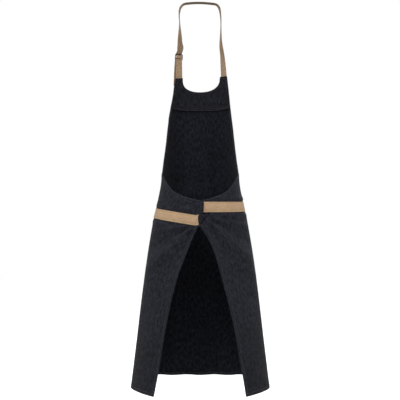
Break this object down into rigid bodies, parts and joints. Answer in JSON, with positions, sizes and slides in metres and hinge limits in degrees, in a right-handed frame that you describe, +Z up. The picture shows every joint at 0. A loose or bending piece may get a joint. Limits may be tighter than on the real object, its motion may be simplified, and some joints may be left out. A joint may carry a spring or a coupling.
{
  "type": "artist smock apron",
  "caption": "Bib apron in dark cloth that wraps round to a slit back, with a faced neck scoop, webbing neck strap with a slider, crossed waist ties, a front bow and a patch pocket.",
  "frame": {"origin": "middle of the underside of the neck strap, at the nape", "axes": "+Z up, +Y towards the wearer's front, +X to the wearer's right"},
  "size_m": [0.3932, 0.2744, 1.0768],
  "materials": {
    "denim": "matte twill",
    "facing": "matte twill",
    "webbing": "matte woven webbing",
    "slider": "satin gunmetal",
    "thread": "matte thread"
  },
  "bodies": {
    "apron": {"apron_panel": "denim", "bib_facing": "facing", "patch_pocket": "denim", "neck_strap": "webbing", "neck_anchor_strap": "webbing", "waist_tie_left": "webbing", "waist_tie_right": "webbing", "tie_knot": "webbing", "bow_loop_left": "webbing", "bow_loop_right": "webbing", "box_stitches": "thread", "bar_tacks": "thread"},
    "hem_corner_left": {"left_hem_corner": "denim"},
    "hem_corner_right": {"right_hem_corner": "denim"},
    "slider": {"strap_slider": "slider", "neck_strap_weave": "webbing"},
    "neck_tail": {"neck_strap_tail": "webbing"},
    "tail_left": {"tie_tail_left": "webbing"},
    "tail_right": {"tie_tail_right": "webbing"}
  },
  "joints": [
    {"name": "hem_corner_left_swing", "type": "hinge", "parent": "apron", "child": "hem_corner_left", "pos_m": [-0.126, -0.0552, -0.9657], "axis": [-0.3319, 0.134, -0.9337], "range_deg": [0, 50]},
    {"name": "hem_corner_right_swing", "type": "hinge", "parent": "apron", "child": "hem_corner_right", "pos_m": [0.126, -0.0552, -0.9657], "axis": [-0.3319, -0.134, 0.9337], "range_deg": [0, 50]},
    {"name": "slider_tilt", "type": "hinge", "parent": "apron", "child": "slider", "pos_m": [-0.0666, 0.16416, -0.129], "axis": [-0.8791, -0.4767, 0], "range_deg": [0, 20]},
    {"name": "neck_tail_swing", "type": "hinge", "parent": "apron", "child": "neck_tail", "pos_m": [-0.07093, 0.16796, -0.1306], "axis": [0.8791, 0.4767, 0], "range_deg": [0, 70]},
    {"name": "tie_tail_left_swing", "type": "hinge", "parent": "apron", "child": "tail_left", "pos_m": [-0.0145, 0.1673, -0.585], "axis": [1, 0, 0], "range_deg": [0, 60]},
    {"name": "tie_tail_right_swing", "type": "hinge", "parent": "apron", "child": "tail_right", "pos_m": [0.0145, 0.1673, -0.585], "axis": [1, 0, 0], "range_deg": [0, 60]}
  ]
}
